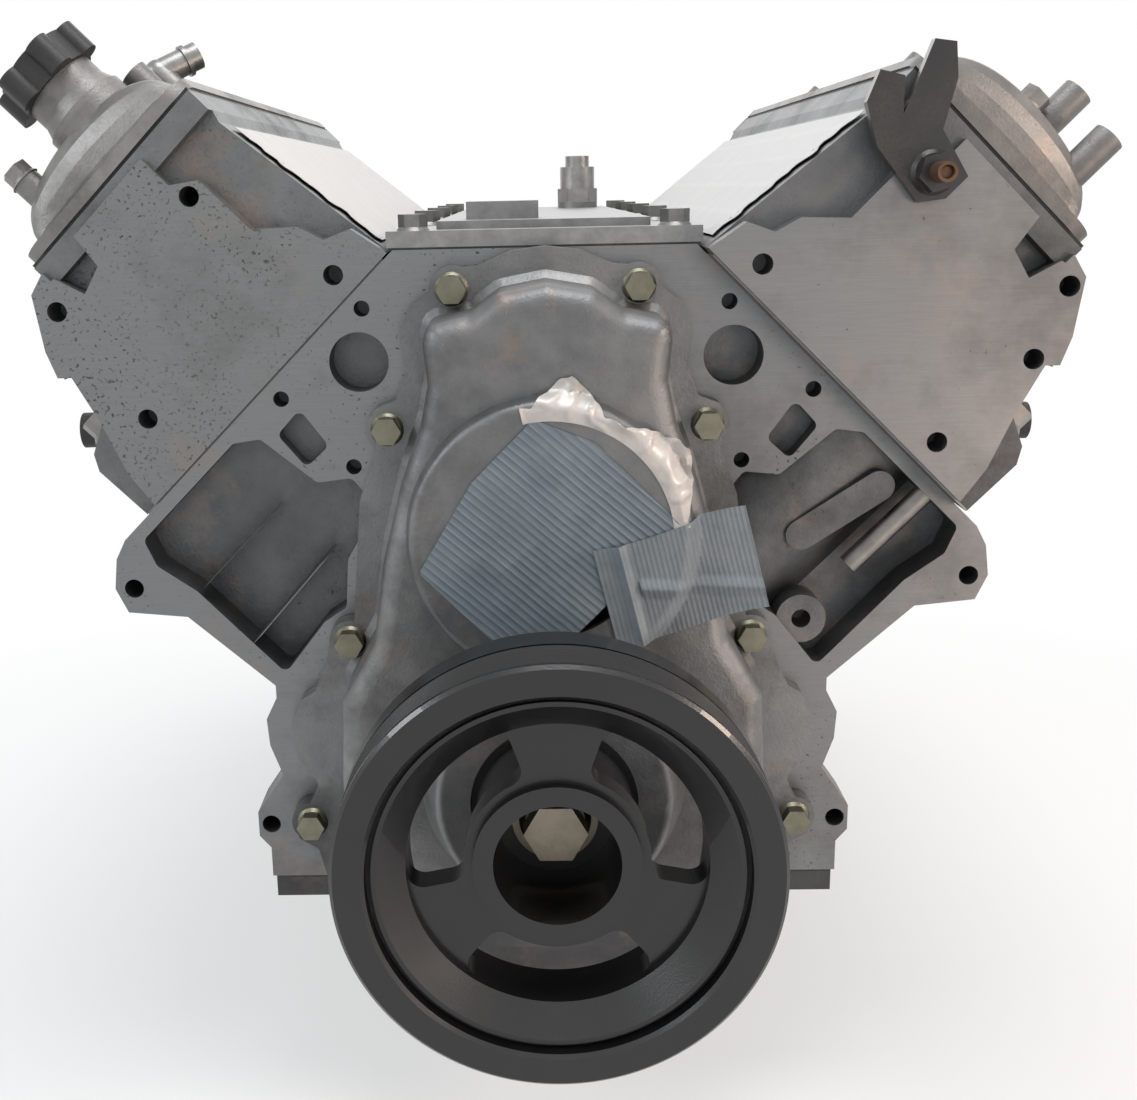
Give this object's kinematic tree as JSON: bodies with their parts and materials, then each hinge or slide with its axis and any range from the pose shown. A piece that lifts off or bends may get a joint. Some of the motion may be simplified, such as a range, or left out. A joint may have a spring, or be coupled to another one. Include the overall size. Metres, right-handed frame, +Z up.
{
  "type": "v8 engine",
  "caption": "Pushrod V8 engine with aluminium block and heads, turning crank train, cam and oil pump rotors, sliding pistons and a turning filler cap.",
  "frame": {"origin": "centre of the crankshaft's rear flange face", "axes": "+Y rearward along the crank axis, +Z up, +X to the engine's left side (right in a front view)"},
  "size_m": [0.5555, 0.699, 0.5925],
  "materials": {
    "cast_aluminium": "rough cast",
    "machined_aluminium": "machined, dull",
    "satin_aluminium": "satin die-cast",
    "forged_steel": "machined steel",
    "bolt_steel": "zinc plated, dull",
    "cast_iron": "machined iron",
    "bearing_metal": "plain bearing",
    "black_paint": "semi-gloss",
    "black_rubber": "matt",
    "black_plastic": "matt",
    "gasket_black": "matt",
    "grey_tape": "cloth tape",
    "pale_tape": "torn sheet",
    "ceramic": "glazed"
  },
  "bodies": {
    "engine": {"engine_block": "cast_aluminium", "main_bearing_caps": "cast_iron", "main_cap_bolts": "bolt_steel", "main_bearings": "bearing_metal", "connecting_rods": "forged_steel", "cam_retainer": "forged_steel", "timing_chain": "forged_steel", "oil_pump_housing": "machined_aluminium", "oil_pickup": "forged_steel", "windage_tray": "forged_steel", "cylinder_head_right": "cast_aluminium", "cylinder_head_left": "cast_aluminium", "head_gaskets": "bearing_metal", "head_bolts": "bolt_steel", "rocker_cover_right": "satin_aluminium", "rocker_cover_left": "satin_aluminium", "rocker_cover_gaskets": "gasket_black", "port_tapes": "pale_tape", "valves": "forged_steel", "valve_springs": "forged_steel", "rocker_arms": "forged_steel", "pushrods_and_lifters": "forged_steel", "spark_plugs": "ceramic", "spark_plug_caps": "black_plastic", "rocker_cover_bolts": "bolt_steel", "oil_filler_neck": "satin_aluminium", "vent_tube": "forged_steel", "valley_cover": "machined_aluminium", "valley_cover_bolts": "bolt_steel", "pressure_sensor": "bearing_metal", "front_cover": "satin_aluminium", "front_cover_bolts": "bolt_steel", "block_gaskets": "gasket_black", "crank_seals": "black_rubber", "tape_disc": "grey_tape", "tape_square": "grey_tape", "rear_cover": "satin_aluminium", "lower_bolts": "bolt_steel", "oil_pan": "cast_aluminium", "lift_bracket": "black_paint", "core_plugs": "bolt_steel"},
    "crank": {"crankshaft": "cast_iron", "crank_sprocket": "forged_steel", "damper_hub": "black_paint", "damper_rubber": "black_rubber", "damper_ring": "black_paint", "damper_bolt": "bolt_steel", "oil_pump_inner_rotor": "forged_steel"},
    "cam": {"camshaft": "forged_steel", "cam_sprocket": "forged_steel"},
    "pump_rotor": {"oil_pump_outer_rotor": "forged_steel"},
    "filler_cap": {"oil_filler_cap": "black_plastic"},
    "piston_1": {"piston_1": "machined_aluminium"},
    "piston_3": {"piston_3": "machined_aluminium"},
    "piston_5": {"piston_5": "machined_aluminium"},
    "piston_7": {"piston_7": "machined_aluminium"},
    "piston_2": {"piston_2": "machined_aluminium"},
    "piston_4": {"piston_4": "machined_aluminium"},
    "piston_6": {"piston_6": "machined_aluminium"},
    "piston_8": {"piston_8": "machined_aluminium"}
  },
  "joints": [
    {"name": "crank_spin", "type": "hinge", "parent": "engine", "child": "crank", "pos_m": [0, -0.3, 0], "axis": [0, 1, 0], "continuous": true, "deforming": ["connecting_rods", "timing_chain"]},
    {"name": "cam_spin", "type": "hinge", "parent": "engine", "child": "cam", "pos_m": [0, -0.3, 0.1248], "axis": [0, 1, 0], "continuous": true},
    {"name": "pump_rotor_spin", "type": "hinge", "parent": "engine", "child": "pump_rotor", "pos_m": [0, -0.5725, 0.004], "axis": [0, 1, 0], "continuous": true},
    {"name": "piston_1_slide", "type": "slide", "parent": "engine", "child": "piston_1", "axis": [0.7071, 0, 0.7071], "range_m": [-0.07507, 0.01693]},
    {"name": "piston_3_slide", "type": "slide", "parent": "engine", "child": "piston_3", "axis": [0.7071, 0, 0.7071], "range_m": [-0.01002, 0.08198]},
    {"name": "piston_5_slide", "type": "slide", "parent": "engine", "child": "piston_5", "axis": [0.7071, 0, 0.7071], "range_m": [-0.07507, 0.01693]},
    {"name": "piston_7_slide", "type": "slide", "parent": "engine", "child": "piston_7", "axis": [0.7071, 0, 0.7071], "range_m": [-0.01002, 0.08198]},
    {"name": "piston_2_slide", "type": "slide", "parent": "engine", "child": "piston_2", "axis": [-0.7071, 0, 0.7071], "range_m": [-0.07507, 0.01693]},
    {"name": "piston_4_slide", "type": "slide", "parent": "engine", "child": "piston_4", "axis": [-0.7071, 0, 0.7071], "range_m": [-0.07507, 0.01693]},
    {"name": "piston_6_slide", "type": "slide", "parent": "engine", "child": "piston_6", "axis": [-0.7071, 0, 0.7071], "range_m": [-0.01002, 0.08198]},
    {"name": "piston_8_slide", "type": "slide", "parent": "engine", "child": "piston_8", "axis": [-0.7071, 0, 0.7071], "range_m": [-0.01002, 0.08198]},
    {"name": "filler_cap_turn", "type": "hinge", "parent": "engine", "child": "filler_cap", "pos_m": [-0.23172, -0.492, 0.32647], "axis": [-0.7071, 0, 0.7071], "range_deg": [0, 90]}
  ],
  "couplings": [
    {"joint": "cam_spin", "follows": "crank_spin", "ratio": 0.5},
    {"joint": "pump_rotor_spin", "follows": "crank_spin", "ratio": 0.88889}
  ]
}
